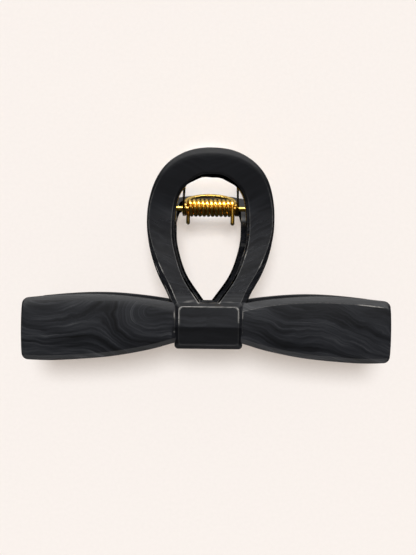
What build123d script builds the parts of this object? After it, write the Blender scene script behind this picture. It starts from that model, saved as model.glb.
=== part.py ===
from build123d import *
import math
import os

# Bow claw clip: two moulded halves, each with a loop handle, a knot, two bow
# tails and a row of teeth, joined at a sprung metal hinge.
#
# Working frame: X runs along the hinge pin, Y from the teeth towards the
# handles, Z towards the front half. The pin's axis is the X axis. At the end
# everything moves up and along so that the origin is at the middle of the
# underside of the clip as it lies on its back half.

# ---------------------------------------------------------------- sizes, mm
HALF_DEPTH = 24.0          # pin axis to the outermost line of either half
LOOP_T = 4.6               # thickness of the loop
IN_CHAMFER = 0.85          # chamfer round the finger hole
TAIL_T = 5.2               # thickness of a tail at its ridge
TAIL_FACE_R = 28.0         # the tails are crowned to this radius across
TAIL_RIDGE_Y = -35.4       # height of the crown line below the pin
TAIL_TOP_CH = (1.9, 0.98)  # top chamfer of a tail, in Y and in Z
TAIL_LOW_CH = (1.4, 0.9)   # bottom chamfer of a tail
TAIL_END_CH = 0.7          # chamfer at a tail's end
KNOT_HALF_W = 9.78         # half the width of the knot
KNOT_TOP_Y, KNOT_LOW_Y = -28.2, -41.6
KNOT_RIDGE_Y = -35.2
KNOT_SIDE_CH = 1.2
KNOT_INNER_Z = 16.6

HANDLE_FLARE = 8.0         # front handle: degrees away from the mid plane
HANDLE_Z0 = 12.8           # its outer face at the height of the pin
BACK_TIP = (5.7, 22.355)    # back handle: inner corner of its tip, (Y, Z)
BACK_ANGLE = 62.0          # back handle: degrees away from the mid plane
BACK_BEND_R = 5.6          # radius of the bend on its inner face

HINGE_X = 0.4              # middle of the hinge, to the right of the knot's
PIN_R = 0.75
PIN_HALF = 11.6
BORE_PLAY = 0.05           # running clearance in the front ears
SEAT_PLAY = 0.02           # in the back ears
SHEET = 0.5                # thickness of the hinge plates
PLATE_GAP = 0.12           # between a plate and the half that it lies on
EAR_R = 2.2                # round end of an ear
EAR_SLANT = 0.50           # how far a front ear slants in towards its plate
FRONT_EAR_X = 8.02         # inner face of a front ear at the pin
BACK_EAR_X = 7.46          # inner face of a back ear

COIL_HALF = 7.43           # half the length of the coil
COIL_TURNS = 12
COIL_R = 2.66              # outer radius of the coil
COIL_VALLEY_R = 2.40
COIL_BORE_R = 1.40
WIRE_R = 0.60

TOOTH_W = 3.2
TOOTH_PITCH = 12.4
TOOTH_TIP_Z = -3.2         # the teeth cross the mid plane by this much

# Loop, front view from the middle of its top down one side to inside the
# knot. outer and hole: the silhouette and the wall of the hole, as X and Y.
# face_in: how far the outer chamfer reaches in; depth: how deep it is.
# draft: how much smaller the hole is at the inner face.
LOOP = [
    # outer_x outer_y hole_x hole_y face_in depth draft
    (0.00, 17.05, 0.00, 9.40, 2.00, 1.10, 1.25),
    (5.40, 16.50, 2.95, 9.15, 1.95, 1.05, 1.25),
    (9.75, 14.85, 5.40, 7.95, 1.70, 0.95, 0.90),
    (13.60, 12.00, 7.45, 6.25, 1.40, 0.85, 0.25),
    (16.45, 7.95, 8.95, 4.30, 1.00, 0.70, 0.12),
    (18.12, 3.00, 10.00, 2.00, 0.75, 0.60, 0.10),
    (18.70, -0.40, 10.45, -0.60, 0.62, 0.60, 0.10),
    (18.85, -3.60, 10.70, -3.60, 0.60, 0.60, 0.10),
    (18.70, -6.85, 10.72, -6.85, 0.62, 0.60, 0.10),
    (17.92, -11.00, 10.35, -10.80, 0.80, 0.65, 0.10),
    (16.55, -15.40, 9.40, -14.60, 1.00, 0.75, 0.10),
    (14.70, -19.70, 8.05, -18.60, 1.15, 0.80, 0.10),
    (12.33, -24.00, 6.00, -22.70, 1.20, 0.85, 0.05),
    (10.45, -28.10, 2.95, -27.10, 1.20, 0.85, 0.05),
    (8.40, -31.80, 0.55, -30.60, 1.20, 0.85, 0.05),
]

# The finger hole of the back half, for the same rows: it is longer, because
# the handle is bent back.
BACK_HOLE = [
    # hole_x hole_y
    (0.00, 13.55),
    (4.00, 13.50),
    (7.30, 13.00),
    (8.95, 11.00),
    (9.60, 7.60),
    (10.00, 3.00),
    (10.10, -0.50),
    (10.10, -3.60),
    (10.10, -6.85),
    (9.95, -10.80),
    (9.20, -14.60),
    (8.00, -18.60),
    (6.10, -22.70),
    (3.05, -27.10),
    (0.55, -30.60),
]

# How far the front loop leans to the right, over its height.
LOOP_LEAN = [
    (-25.0, 0.0), (-19.0, 0.16), (-16.0, 0.25), (-10.0, 0.31),
    (-4.0, 0.34), (2.0, 0.45), (8.0, 0.61), (17.1, 0.62),
]

# How much more draft the hole has at its top corners, left and right.
LOOP_CORNER = {-1: -0.20, 1: 0.55}

# Outer face of a half's arms and of the front handle: height and depth.
ARM_PROFILE = [(-6.5, 13.55), (-8.6, 14.15), (-12.0, 15.35), (-32.0, 22.95)]

# Tail, from inside the knot to its end: top and bottom edges and crown.
TAIL = [
    # x       top_y   low_y   crown_z
    (7.50, -28.90, -39.30, 22.25),
    (10.60, -28.15, -40.15, 22.35),
    (14.50, -27.45, -41.30, 22.85),
    (20.50, -26.70, -42.70, 23.15),
    (28.50, -26.05, -44.05, 23.25),
    (37.00, -26.02, -44.85, 23.20),
    (45.50, -26.60, -45.30, 23.05),
    (52.30, -27.32, -45.10, 22.80),
]
TAIL_END_X = 53.0
TAIL_REACH = {-1: 53.86, 1: 52.54}  # the ends of the left and right tails

# Hinge plates, half outline from the middle of the arch down one side, in the
# plane of the handle: inner edge then outer edge, as X and distance from the
# pin's height along the handle.
FRONT_PLATE = [
    # inner_x inner_v outer_x outer_v
    (0.00, 10.70, 0.00, 12.60),
    (4.10, 9.85, 5.00, 11.75),
    (6.10, 8.20, 8.60, 9.75),
    (7.15, 6.15, 10.20, 7.30),
    (8.45, 4.30, 11.20, 4.80),
    (9.40, 2.60, 11.90, 2.40),
    (10.20, -0.40, 12.50, -1.00),
    (10.50, -4.60, 12.70, -4.60),
]
BACK_PLATE = [
    (0.00, 15.30, 0.00, 16.45),
    (3.30, 14.60, 3.80, 15.70),
    (5.90, 12.40, 7.00, 13.30),
    (7.00, 8.60, 8.45, 9.20),
    (7.15, 3.40, 8.80, 3.40),
    (7.15, -0.20, 8.80, -0.20),
]


# ---------------------------------------------------------------- helpers
def between(table, at, col=1):
    """Value of a column of a table at a given first column, by straight lines."""
    rows = sorted(table)
    if at <= rows[0][0]:
        return rows[0][col]
    for a, b in zip(rows, rows[1:]):
        if at <= b[0]:
            share = (at - a[0]) / (b[0] - a[0])
            return a[col] + share * (b[col] - a[col])
    return rows[-1][col]


def loft_points(sections, ruled=False):
    return Solid.make_loft(
        [Wire.make_polygon([Vector(*p) for p in s], close=True) for s in sections],
        ruled,
    )


def loft_edges(sections, ruled=False):
    return Solid.make_loft([Wire(s) for s in sections], ruled)


def mirrored_z(shape):
    return mirror(shape, about=Plane.XY)


# ------------------------------------------------------------ side profiles
# Both give, for a height v, a point (Y, Z) on the outer face, the direction
# of the band towards the handle's tip, and the outward direction.
def front_profile(v):
    if v > -6.5:
        a = math.radians(HANDLE_FLARE)
        point = (v, HANDLE_Z0 + v * math.tan(a))
        if v < -2.0:
            share = (v + 6.5) / 4.5
            point = (v, share * (HANDLE_Z0 - 2 * math.tan(a)) + (1 - share) * ARM_PROFILE[0][1])
            a = a * share + (1 - share) * math.radians(-14)
        return point, (math.cos(a), math.sin(a)), (-math.sin(a), math.cos(a))
    z = between(ARM_PROFILE, v)
    a = math.atan2(between(ARM_PROFILE, v + 1) - between(ARM_PROFILE, v - 1), 2.0)
    return (v, z), (math.cos(a), math.sin(a)), (-math.sin(a), math.cos(a))


ARM_ANGLE = math.atan2(ARM_PROFILE[2][1] - ARM_PROFILE[3][1], 20.0)
ARM_POINT = (
    -12.0 + LOOP_T * math.sin(ARM_ANGLE),
    ARM_PROFILE[2][1] - LOOP_T * math.cos(ARM_ANGLE),
)  # a point on the inner face of the arms


def back_bend():
    """Centre of the bend, and how long the straight handle is."""
    a, b = ARM_ANGLE, math.radians(BACK_ANGLE)
    da, db = (math.cos(a), math.sin(a)), (math.cos(b), math.sin(b))
    na, nb = (-math.sin(a), math.cos(a)), (-math.sin(b), math.cos(b))
    r = BACK_BEND_R
    # ARM_POINT + s da + r na = BACK_TIP - u db + r nb
    ey = BACK_TIP[0] + r * nb[0] - ARM_POINT[0] - r * na[0]
    ez = BACK_TIP[1] + r * nb[1] - ARM_POINT[1] - r * na[1]
    det = da[0] * db[1] - da[1] * db[0]
    s = (ey * db[1] - ez * db[0]) / det
    u = (da[0] * ez - da[1] * ey) / det
    start = (ARM_POINT[0] + s * da[0], ARM_POINT[1] + s * da[1])
    centre = (start[0] + r * na[0], start[1] + r * na[1])
    return start, centre, u


BEND_START, BEND_CENTRE, BACK_STRAIGHT = back_bend()
BEND_TURN = math.radians(BACK_ANGLE) - ARM_ANGLE
BACK_LENGTH = BACK_BEND_R * BEND_TURN + BACK_STRAIGHT
BACK_SCALE = BACK_LENGTH / (LOOP[0][1] - BEND_START[0])


def back_inner(v):
    """Inner face of the back half: point, direction, outward direction."""
    if v <= BEND_START[0]:
        a = ARM_ANGLE
        along = (v - BEND_START[0]) / math.cos(a)
        point = (BEND_START[0] + along * math.cos(a), BEND_START[1] + along * math.sin(a))
    else:
        u = (v - BEND_START[0]) * BACK_SCALE
        arc = BACK_BEND_R * BEND_TURN
        a = ARM_ANGLE + min(u, arc) / BACK_BEND_R
        n = (-math.sin(a), math.cos(a))
        point = (
            BEND_CENTRE[0] - BACK_BEND_R * n[0],
            BEND_CENTRE[1] - BACK_BEND_R * n[1],
        )
        over = max(0.0, u - arc)
        point = (point[0] + over * math.cos(a), point[1] + over * math.sin(a))
    return point, (math.cos(a), math.sin(a)), (-math.sin(a), math.cos(a))


def back_profile(v):
    point, d, n = back_inner(v)
    return (point[0] + LOOP_T * n[0], point[1] + LOOP_T * n[1]), d, n


# ------------------------------------------------------------------ the loop
def loop_section(row, side, profile, scale, lean):
    ox, oy, hx, hy, face_in, depth, draft = row
    mid = (oy + hy) / 2
    (py, pz), d, n = profile(mid)

    def place(x, v, deep):
        along = (v - mid) * (scale if mid > BEND_START[0] else 1.0 / d[0])
        return (
            side * x + (between(LOOP_LEAN, v) if lean else 0.0),
            py + along * d[0] - deep * n[0],
            pz + along * d[1] - deep * n[1],
        )

    width = math.hypot(ox - hx, oy - hy)
    if lean:
        draft += LOOP_CORNER[side] * min(1.0, max(0.0, (hy - 3.5) / 3.0)) * min(1.0, hx / 3.0)

    def at(share, deep):  # share 0 at the hole's wall, 1 at the outer wall
        return place(hx + share * (ox - hx), hy + share * (oy - hy), deep)

    return [
        at(1.0, depth),
        at(1.0 - face_in / width, 0.0),
        at(IN_CHAMFER / width, 0.0),
        at(0.0, IN_CHAMFER),
        at(-draft / width, LOOP_T),
        at(1.0, LOOP_T),
    ]


def loop(profile, scale, lean):
    table = LOOP if lean else [(*r[:2], *h, *r[4:6], 0.1) for r, h in zip(LOOP, BACK_HOLE)]
    rows = [(row, -1) for row in reversed(table[1:])] + [(row, 1) for row in table]
    return loft_points([loop_section(row, side, profile, scale, lean) for row, side in rows])


# ------------------------------------------------------------------ the tail
def face_z(y, crown):
    """Depth of the crowned face of a tail at a height."""
    return crown - TAIL_FACE_R + math.sqrt(TAIL_FACE_R**2 - (y - TAIL_RIDGE_Y) ** 2)


def tail_section(x, top, low, crown, inset=0.0):
    top, low, crown = top - inset, low + inset, crown - inset
    t_y, t_z = TAIL_TOP_CH
    l_y, l_z = TAIL_LOW_CH
    a = Vector(x, top, face_z(top - t_y, crown) - t_z)
    b = Vector(x, top - t_y, face_z(top - t_y, crown))
    c = Vector(x, TAIL_RIDGE_Y, crown)
    e = Vector(x, low + l_y, face_z(low + l_y, crown))
    f = Vector(x, low, face_z(low + l_y, crown) - l_z)
    inner = crown + inset - TAIL_T + inset
    g = Vector(x, low, inner - 1.3)
    h = Vector(x, TAIL_RIDGE_Y, inner)
    i = Vector(x, top, inner - 1.1)
    return [
        Edge.make_line(a, b),
        Edge.make_three_point_arc(b, c, e),
        Edge.make_line(e, f),
        Edge.make_line(f, g),
        Edge.make_three_point_arc(g, h, i),
        Edge.make_line(i, a),
    ]


def tail(side):
    reach = TAIL_REACH[side] / TAIL_END_X
    rows = [(row[0] * reach, *row[1:]) for row in TAIL]
    body = loft_edges([tail_section(*row) for row in rows])
    x, top, low, crown = rows[-1]
    end = loft_edges(
        [tail_section(*rows[-1]), tail_section(TAIL_REACH[side], top, low, crown, TAIL_END_CH)],
        ruled=True,
    )
    made = body.fuse(end)
    return made if side > 0 else mirror(made, about=Plane.YZ)


# ------------------------------------------------------------------ the knot
def knot_section(x, inset):
    z = HALF_DEPTH - inset
    return [
        (x, KNOT_TOP_Y - inset, 21.75 - inset),
        (x, KNOT_TOP_Y - 1.2 - inset, 22.85 - inset),
        (x, KNOT_RIDGE_Y, z),
        (x, KNOT_LOW_Y + 1.55 + inset, 22.35 - inset),
        (x, KNOT_LOW_Y + inset, 20.6 - inset),
        (x, KNOT_LOW_Y + inset, KNOT_INNER_Z),
        (x, KNOT_TOP_Y - inset, KNOT_INNER_Z),
    ]


def knot():
    full, edge = KNOT_HALF_W - KNOT_SIDE_CH, KNOT_HALF_W
    return loft_points(
        [
            knot_section(-edge, KNOT_SIDE_CH),
            knot_section(-full, 0.0),
            knot_section(full, 0.0),
            knot_section(edge, KNOT_SIDE_CH),
        ],
        ruled=True,
    )


# ----------------------------------------------------------------- the teeth
def tooth(x):
    low = between([(r[0], r[2]) for r in TAIL], max(abs(x), 12.0))
    root = between([(r[0], r[3]) for r in TAIL], abs(x)) - TAIL_T + 0.6
    tip = TOOTH_TIP_Z
    p = [
        Vector(0, low + 1.3, root),
        Vector(0, low + 1.9, root * 0.45),
        Vector(0, low + 4.6, tip + 0.5),
        Vector(0, low + 5.1, tip),
        Vector(0, low + 5.6, tip + 0.5),
        Vector(0, low + 6.6, root * 0.5),
        Vector(0, low + 9.6, root),
    ]
    outline = Wire(
        [
            Edge.make_three_point_arc(p[0], p[1], p[2]),
            Edge.make_three_point_arc(p[2], p[3], p[4]),
            Edge.make_three_point_arc(p[4], p[5], p[6]),
            Edge.make_line(p[6], p[0]),
        ]
    )
    solid = Solid.extrude(Face(outline), Vector(TOOTH_W, 0, 0))
    return Pos(x - TOOTH_W / 2, 0, 0) * solid


def half(profile, scale, lean, teeth_at):
    body = knot().fuse(tail(1), tail(-1))
    body = body.fuse(loop(profile, scale, lean))
    return body.fuse(*[tooth(x) for x in teeth_at])


# ---------------------------------------------------------------- the hinge
def arch(rows):
    right_in = [(r[0], r[1]) for r in rows]
    right_out = [(r[2], r[3]) for r in rows]
    left_out = [(-x, v) for x, v in reversed(right_out[1:])]
    left_in = [(-x, v) for x, v in reversed(right_in[1:])]
    inner = left_in + right_in
    outer = left_out + right_out
    inner_line = Edge.make_spline([Vector(x, v, 0) for x, v in inner])
    outer_line = Edge.make_spline([Vector(x, v, 0) for x, v in outer])
    ends = [
        Edge.make_line(Vector(*inner[0], 0), Vector(*outer[0], 0)),
        Edge.make_line(Vector(*outer[-1], 0), Vector(*inner[-1], 0)),
    ]
    face = Face(Wire([inner_line, ends[1], outer_line, ends[0]]))
    return extrude(face, amount=SHEET, dir=(0, 0, 1))


def ear_side(points, x_from, x_to):
    """Ear seen from the side: its root and a round end at the pin."""
    outline = make_hull(
        [
            Edge.make_line(Vector(*points[0], 0), Vector(*points[1], 0)),
            Edge.make_circle(EAR_R),
        ]
    )
    solid = extrude(outline, amount=x_to - x_from)
    # the outline is drawn with Y along X and Z along Y
    turned = Plane(origin=(x_from, 0, 0), x_dir=(0, 1, 0), z_dir=(1, 0, 0)) * solid
    return turned


def bored(shape, radius):
    hole = Plane.YZ.offset(-20) * extrude(Circle(radius), amount=40)
    return shape - hole


def front_plate():
    a = math.radians(HANDLE_FLARE)
    d, n = (math.cos(a), math.sin(a)), (-math.sin(a), math.cos(a))
    deep = LOOP_T + PLATE_GAP + SHEET
    # plane through the outer face at the pin's height, moved inwards
    base = Plane(
        origin=(0, -deep * n[0], HANDLE_Z0 - deep * n[1]),
        x_dir=(1, 0, 0),
        z_dir=(0, n[0], n[1]),
    )
    shape = base * arch(FRONT_PLATE)

    def on_plate(v, lift=0.25):
        return (
            -(deep - lift) * n[0] + v * d[0],
            HANDLE_Z0 - (deep - lift) * n[1] + v * d[1],
        )

    side = ear_side([on_plate(5.2), on_plate(8.2)], 6.0, 11.0)
    x = FRONT_EAR_X
    top_z = on_plate(5.2)[1] + 1.2
    strip = [
        (x - EAR_SLANT, top_z),
        (x, 3.4),
        (x, -4.0),
        (x + SHEET, -4.0),
        (x + SHEET, 3.4),
        (x - EAR_SLANT + SHEET, top_z),
    ]
    prism = extrude(
        Plane.XZ * make_face(Polyline(*strip, close=True)), amount=-20, both=True
    )
    ear = side & prism
    shape = shape + ear + mirror(ear, about=Plane.YZ)
    # the ears stop at the far face of the plate
    above = base * Pos(0, 0, SHEET + 5) * Box(60, 80, 10)
    return bored(shape - above, PIN_R + BORE_PLAY)


def back_plate():
    """Built on the +Z side and mirrored afterwards, as the back half is."""
    a = math.radians(BACK_ANGLE)
    d, n = (math.cos(a), math.sin(a)), (-math.sin(a), math.cos(a))
    deep = PLATE_GAP + SHEET
    tip_v = LOOP[0][1]

    def on_plate(v, lift):
        back = (tip_v - v) * BACK_SCALE
        return (
            BACK_TIP[0] - back * d[0] - (deep - lift) * n[0],
            BACK_TIP[1] - back * d[1] - (deep - lift) * n[1],
        )

    rows = [
        (r[0], (r[1] - tip_v) * BACK_SCALE, r[2], (r[3] - tip_v) * BACK_SCALE)
        for r in BACK_PLATE
    ]
    origin = on_plate(tip_v, 0.0)
    base = Plane(origin=(0, *origin), x_dir=(1, 0, 0), z_dir=(0, n[0], n[1]))
    shape = base * arch(rows)
    ear = ear_side(
        [on_plate(-0.1, 0.25), on_plate(5.6, 0.25)], BACK_EAR_X, BACK_EAR_X + SHEET
    )
    shape = shape + ear + mirror(ear, about=Plane.YZ)
    return bored(mirrored_z(shape), PIN_R + SEAT_PLAY)


def pin():
    rod = Cylinder(PIN_R, 2 * PIN_HALF, rotation=(0, 90, 0))
    return chamfer(rod.edges().filter_by(GeomType.CIRCLE), 0.2)


# --------------------------------------------------------------- the spring
def leg(a, b):
    """A straight stretch of wire with round ends."""
    a, b = Vector(*a), Vector(*b)
    along = b - a
    rod = Solid.make_cylinder(WIRE_R, along.length, Plane(origin=a, z_dir=along))
    return rod.fuse(
        Pos(a.X, a.Y, a.Z) * Sphere(WIRE_R).solid(),
        Pos(b.X, b.Y, b.Z) * Sphere(WIRE_R).solid(),
    )


def spring():
    pitch = 2 * COIL_HALF / COIL_TURNS
    edges = [
        Edge.make_line((COIL_HALF, COIL_BORE_R), (-COIL_HALF, COIL_BORE_R)),
        Edge.make_line((-COIL_HALF, COIL_BORE_R), (-COIL_HALF, COIL_VALLEY_R)),
    ]
    for k in range(COIL_TURNS):
        x0 = -COIL_HALF + k * pitch
        edges.append(
            Edge.make_three_point_arc(
                (x0, COIL_VALLEY_R),
                (x0 + pitch / 2, COIL_R),
                (x0 + pitch, COIL_VALLEY_R),
            )
        )
    edges.append(Edge.make_line((COIL_HALF, COIL_VALLEY_R), (COIL_HALF, COIL_BORE_R)))
    body = revolve(Face(Wire(edges)), axis=Axis.X)
    mean = COIL_R - WIRE_R
    left = leg((-COIL_HALF + 0.62, 0.2, -mean), (-6.66, -4.15, -mean - 0.25))
    right = leg((COIL_HALF - 0.64, 0.2, mean), (6.66, -4.50, mean + 0.25))
    return body + left + right


# ------------------------------------------------------------------ assembly
n_front = [TOOTH_PITCH * (k + 0.5) for k in range(4)]
n_back = [TOOTH_PITCH * k for k in range(1, 5)]
front_teeth = [-x for x in reversed(n_front)] + n_front
back_teeth = [-x for x in reversed(n_back)] + [0.0] + n_back

nodes = {
    "front_half": half(front_profile, 1.0 / math.cos(math.radians(HANDLE_FLARE)), True, front_teeth),
    "back_half": mirrored_z(half(back_profile, BACK_SCALE, False, back_teeth)),
    "front_hinge_plate": Pos(HINGE_X, 0, 0) * front_plate(),
    "back_hinge_plate": Pos(HINGE_X, 0, 0) * back_plate(),
    "hinge_pin": Pos(HINGE_X, 0, 0) * pin(),
    "spring": Pos(HINGE_X, 0, 0) * spring(),
}

boxes = [shape.bounding_box() for shape in nodes.values()]
low = [min(getattr(b.min, k) for b in boxes) for k in "XYZ"]
high = [max(getattr(b.max, k) for b in boxes) for k in "XYZ"]
shift = (-(low[0] + high[0]) / 2, -(low[1] + high[1]) / 2, -low[2])
print("low", [round(v, 3) for v in low], "high", [round(v, 3) for v in high])
print("pin axis passes through", [round(v, 4) for v in shift])

os.makedirs("parts", exist_ok=True)
for name, shape in nodes.items():
    moved = Pos(*shift) * shape
    solids = moved.solids()
    print(name, "solids", len(solids), "volume", round(sum(s.volume for s in solids), 1))
    export_step(moved if len(solids) != 1 else solids[0], f"parts/{name}.step")
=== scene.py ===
import math

import bmesh
import bpy
import numpy as np
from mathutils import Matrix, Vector, kdtree


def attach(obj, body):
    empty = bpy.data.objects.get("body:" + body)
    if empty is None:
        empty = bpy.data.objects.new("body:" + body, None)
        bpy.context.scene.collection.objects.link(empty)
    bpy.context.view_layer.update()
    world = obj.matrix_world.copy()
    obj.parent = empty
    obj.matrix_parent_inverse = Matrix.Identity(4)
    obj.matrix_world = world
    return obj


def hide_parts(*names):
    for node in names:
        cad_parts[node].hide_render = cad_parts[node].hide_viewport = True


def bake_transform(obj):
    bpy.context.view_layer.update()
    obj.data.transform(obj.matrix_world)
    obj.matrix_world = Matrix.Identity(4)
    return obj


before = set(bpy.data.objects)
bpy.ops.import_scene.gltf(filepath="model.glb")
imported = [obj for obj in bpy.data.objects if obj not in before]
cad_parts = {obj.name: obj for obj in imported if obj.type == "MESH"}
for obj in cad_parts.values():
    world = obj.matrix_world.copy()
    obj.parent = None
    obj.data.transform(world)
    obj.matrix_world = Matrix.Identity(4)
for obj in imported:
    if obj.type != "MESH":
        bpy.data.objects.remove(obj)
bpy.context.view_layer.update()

# Lengths are in millimetres from the pin's axis, X along the pin, Y towards the
# handles, Z towards the front half, and become metres in the shared frame in
# row_point().
PIN = np.array([0.66, 13.8783, 24.0])


def row_point(p):
    return (np.asarray(p, float) + PIN) * 0.001


# ------------------------------------------------------------------- camera
camera_data = bpy.data.cameras.new("camera")
camera = bpy.data.objects.new("camera", camera_data)
bpy.context.scene.collection.objects.link(camera)
camera_data.sensor_fit = "AUTO"
camera_data.sensor_width = 36.0
camera_data.lens = 79.46
camera_data.clip_start, camera_data.clip_end = 0.01, 10.0
camera.location = Vector(row_point((-3.35, -20.99, 374.0)))
camera.rotation_euler = (0.0, math.radians(-0.491), math.radians(0.68))
bpy.context.scene.camera = camera

# -------------------------------------------------------------------- sizes
HALF_DEPTH = 24.0
LOOP_T = 4.6
IN_CHAMFER = 0.85
TAIL_T = 5.2
TAIL_FACE_R = 28.0
TAIL_RIDGE_Y = -35.4
TAIL_TOP_CH = (1.9, 0.98)
TAIL_LOW_CH = (1.4, 0.9)
TAIL_END_X = 53.0
TAIL_REACH = {-1: 53.86, 1: 52.54}
HINGE_X = 0.4
KNOT_HALF_W = 9.78
KNOT_TOP_Y, KNOT_LOW_Y = -28.2, -41.6
KNOT_RIDGE_Y = -35.2
KNOT_SIDE_CH = 1.2
KNOT_INNER_Z = 16.6
HANDLE_FLARE = 8.0
HANDLE_Z0 = 12.8
BACK_TIP = (5.7, 22.355)
BACK_ANGLE = 62.0
BACK_BEND_R = 5.6
PIN_R, PIN_HALF = 0.75, 11.6
SHEET, PLATE_GAP, EAR_R = 0.5, 0.12, 2.2
FRONT_EAR_X, BACK_EAR_X, EAR_SLANT = 8.02, 7.46, 0.50
TOOTH_PITCH, TOOTH_TIP_Z = 12.4, -3.2

LOOP = [
    # outer_x outer_y hole_x hole_y face_in depth draft
    (0.00, 17.05, 0.00, 9.40, 2.00, 1.10, 1.25),
    (5.40, 16.50, 2.95, 9.15, 1.95, 1.05, 1.25),
    (9.75, 14.85, 5.40, 7.95, 1.70, 0.95, 0.90),
    (13.60, 12.00, 7.45, 6.25, 1.40, 0.85, 0.25),
    (16.45, 7.95, 8.95, 4.30, 1.00, 0.70, 0.12),
    (18.12, 3.00, 10.00, 2.00, 0.75, 0.60, 0.10),
    (18.70, -0.40, 10.45, -0.60, 0.62, 0.60, 0.10),
    (18.85, -3.60, 10.70, -3.60, 0.60, 0.60, 0.10),
    (18.70, -6.85, 10.72, -6.85, 0.62, 0.60, 0.10),
    (17.92, -11.00, 10.35, -10.80, 0.80, 0.65, 0.10),
    (16.55, -15.40, 9.40, -14.60, 1.00, 0.75, 0.10),
    (14.70, -19.70, 8.05, -18.60, 1.15, 0.80, 0.10),
    (12.33, -24.00, 6.00, -22.70, 1.20, 0.85, 0.05),
    (10.45, -28.10, 2.95, -27.10, 1.20, 0.85, 0.05),
    (8.40, -31.80, 0.55, -30.60, 1.20, 0.85, 0.05),
]
BACK_HOLE = [
    # hole_x hole_y
    (0.00, 13.55),
    (4.00, 13.50),
    (7.30, 13.00),
    (8.95, 11.00),
    (9.60, 7.60),
    (10.00, 3.00),
    (10.10, -0.50),
    (10.10, -3.60),
    (10.10, -6.85),
    (9.95, -10.80),
    (9.20, -14.60),
    (8.00, -18.60),
    (6.10, -22.70),
    (3.05, -27.10),
    (0.55, -30.60),
]
LOOP_LEAN = [
    (-25.0, 0.0), (-19.0, 0.16), (-16.0, 0.25), (-10.0, 0.31),
    (-4.0, 0.34), (2.0, 0.45), (8.0, 0.61), (17.1, 0.62),
]

# How much more draft the hole has at its top corners, left and right, by the
# hole's half width there.
LOOP_CORNER = {
    -1: [(0.0, 0.05), (2.95, -0.22), (5.40, -0.06), (7.45, 0.05), (8.95, 0.0)],
    1: [(0.0, 0.05), (2.95, 0.02), (5.40, 0.28), (7.45, 0.42), (8.95, 0.10)],
}
ARM_PROFILE = [(-6.5, 13.55), (-8.6, 14.15), (-12.0, 15.35), (-32.0, 22.95)]
TAIL = [
    # x       top_y   low_y   crown_z
    (7.50, -28.90, -39.30, 22.25),
    (10.60, -28.15, -40.15, 22.35),
    (14.50, -27.45, -41.30, 22.85),
    (20.50, -26.70, -42.70, 23.15),
    (28.50, -26.05, -44.05, 23.25),
    (37.00, -26.02, -44.85, 23.20),
    (45.50, -26.60, -45.30, 23.05),
    (52.30, -27.32, -45.10, 22.80),
]
FRONT_PLATE = [
    # inner_x inner_v outer_x outer_v
    (0.00, 10.70, 0.00, 12.60),
    (4.10, 9.85, 5.00, 11.75),
    (6.10, 8.20, 8.60, 9.75),
    (7.15, 6.15, 10.20, 7.30),
    (8.45, 4.30, 11.20, 4.80),
    (9.40, 2.60, 11.90, 2.40),
    (10.20, -0.40, 12.50, -1.00),
    (10.50, -4.60, 12.70, -4.60),
]
BACK_PLATE = [
    (0.00, 15.30, 0.00, 16.45),
    (3.30, 14.60, 3.80, 15.70),
    (5.90, 12.40, 7.00, 13.30),
    (7.00, 8.60, 8.45, 9.20),
    (7.15, 3.40, 8.80, 3.40),
    (7.15, -0.20, 8.80, -0.20),
]


# ------------------------------------------------------------------ helpers
def between(table, at, col=1):
    rows = sorted(table)
    if at <= rows[0][0]:
        return rows[0][col]
    for a, b in zip(rows, rows[1:]):
        if at <= b[0]:
            share = (at - a[0]) / (b[0] - a[0])
            return a[col] + share * (b[col] - a[col])
    return rows[-1][col]


def smooth_rows(at, rows, wanted):
    """Natural cubic spline through rows (n, ...) at stations at (n,)."""
    at = np.asarray(at, float)
    y = np.asarray(rows, float)
    shape = y.shape[1:]
    y = y.reshape(len(at), -1)
    n = len(at)
    h = np.diff(at)
    a = np.zeros((n, n))
    b = np.zeros((n, y.shape[1]))
    a[0, 0] = a[-1, -1] = 1.0
    for i in range(1, n - 1):
        a[i, i - 1], a[i, i], a[i, i + 1] = h[i - 1], 2 * (h[i - 1] + h[i]), h[i]
        b[i] = 6 * ((y[i + 1] - y[i]) / h[i] - (y[i] - y[i - 1]) / h[i - 1])
    m = np.linalg.solve(a, b)
    wanted = np.asarray(wanted, float)
    k = np.clip(np.searchsorted(at, wanted, side="right") - 1, 0, n - 2)
    hk = h[k][:, None]
    left, right = (at[k + 1] - wanted)[:, None], (wanted - at[k])[:, None]
    out = (
        m[k] * left**3 / (6 * hk)
        + m[k + 1] * right**3 / (6 * hk)
        + (y[k] / hk - m[k] * hk / 6) * left
        + (y[k + 1] / hk - m[k + 1] * hk / 6) * right
    )
    return out.reshape((len(wanted),) + shape)


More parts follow.
